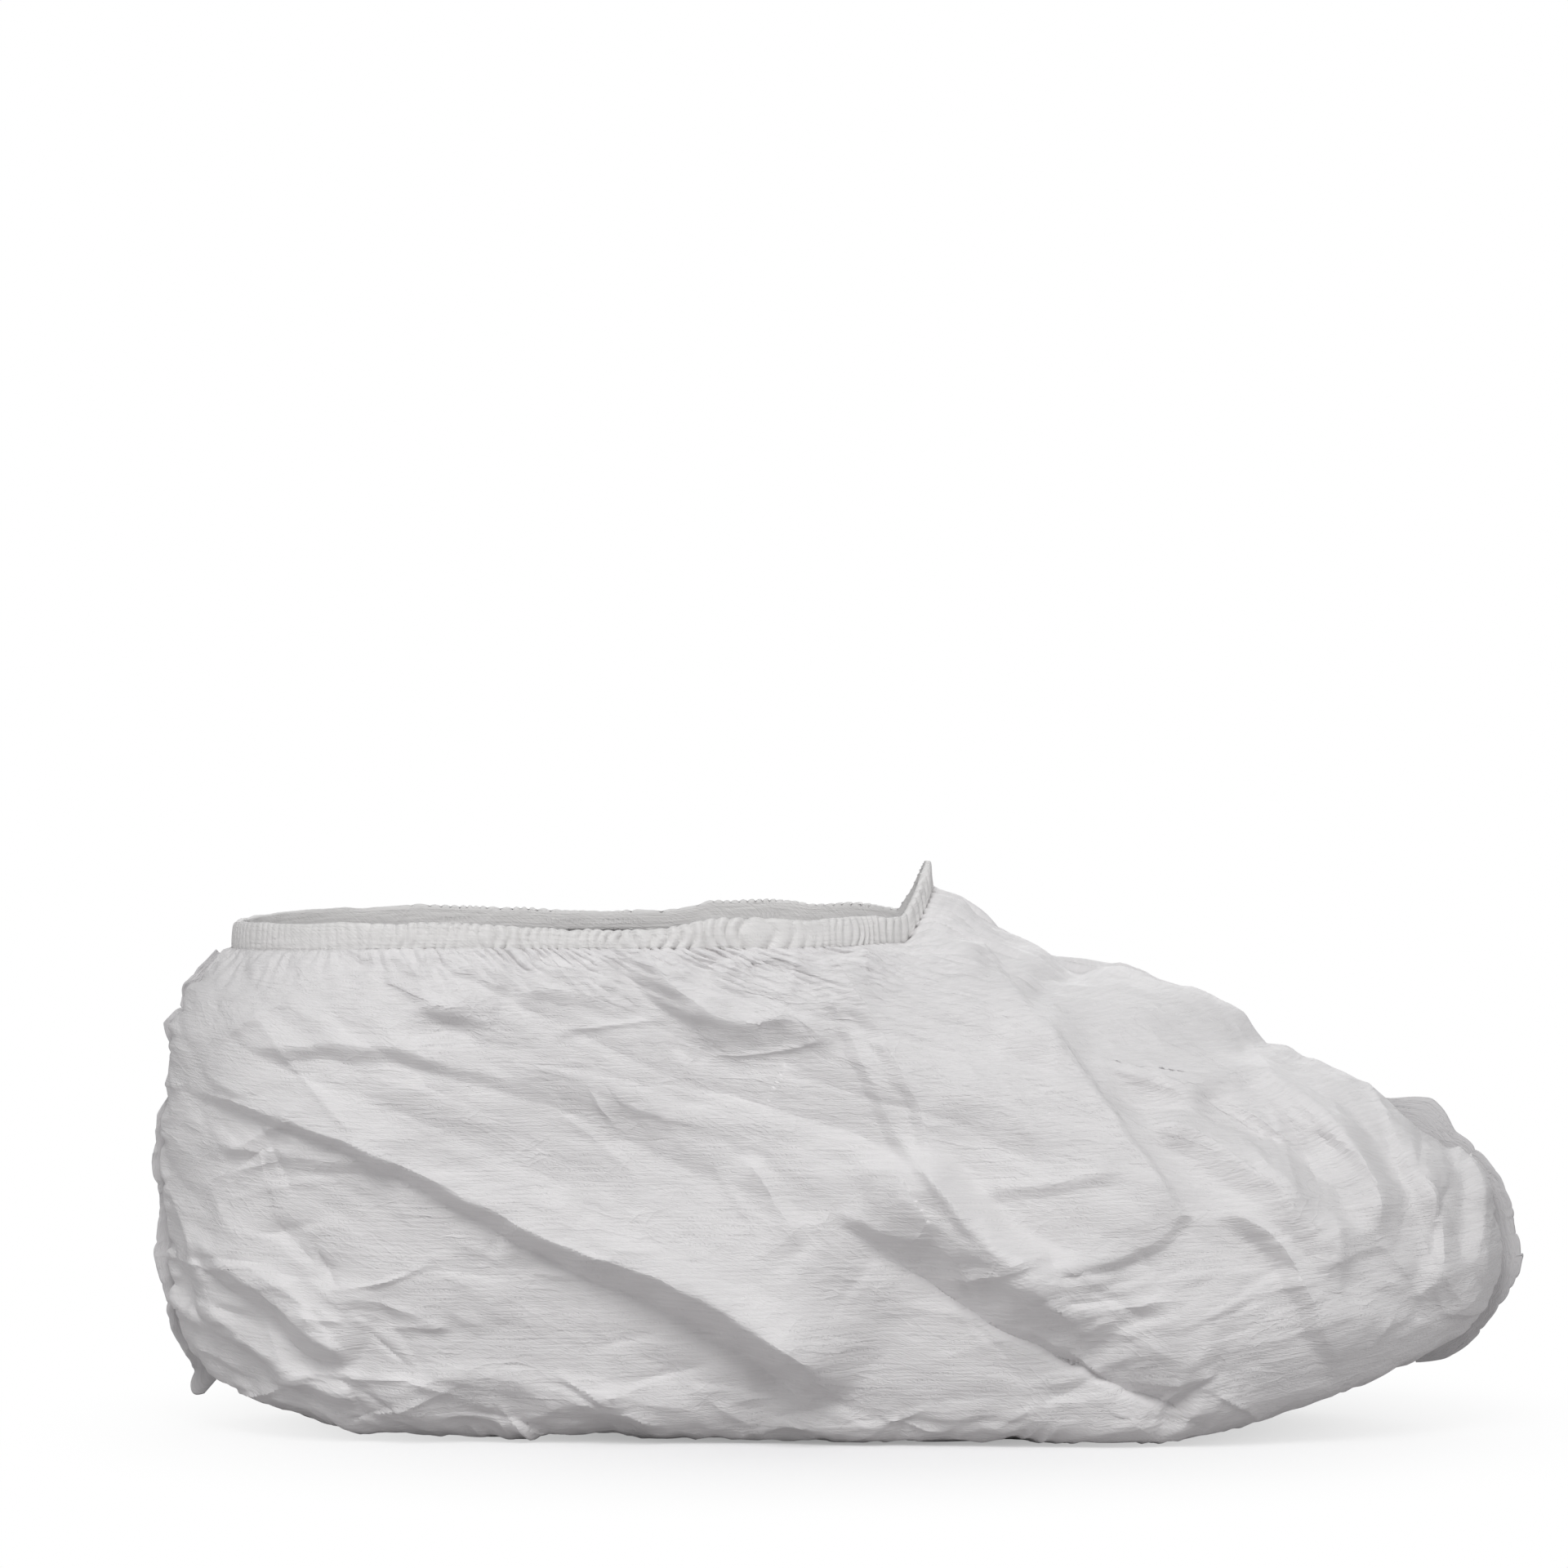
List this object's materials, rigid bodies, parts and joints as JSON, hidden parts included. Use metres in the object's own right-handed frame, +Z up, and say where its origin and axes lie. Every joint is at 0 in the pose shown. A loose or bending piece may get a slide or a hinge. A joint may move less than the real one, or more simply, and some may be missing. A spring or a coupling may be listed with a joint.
{
  "type": "shoe cover",
  "caption": "Low disposable shoe cover of crumpled white nonwoven, open at the ankle, with a gathered elastic hem and sewn heel and toe seams.",
  "frame": {"origin": "on the floor under the middle of the cover: half way between heel and toe, on the plane of the seams", "axes": "+X towards the toe, +Y to the cover's far side, +Z up, with the sole on Z = 0"},
  "size_m": [0.3192, 0.1262, 0.1322],
  "materials": {
    "nonwoven": "smooth calendered nonwoven with a faint sheen",
    "nonwoven_hem": "folded nonwoven, gathered on elastic",
    "nonwoven_seam": "raw folded edges of the nonwoven"
  },
  "bodies": {
    "root": {"near_panel": "nonwoven", "far_panel": "nonwoven", "opening_hem": "nonwoven_hem", "heel_seam": "nonwoven_seam", "toe_seam": "nonwoven_seam"}
  },
  "joints": []
}
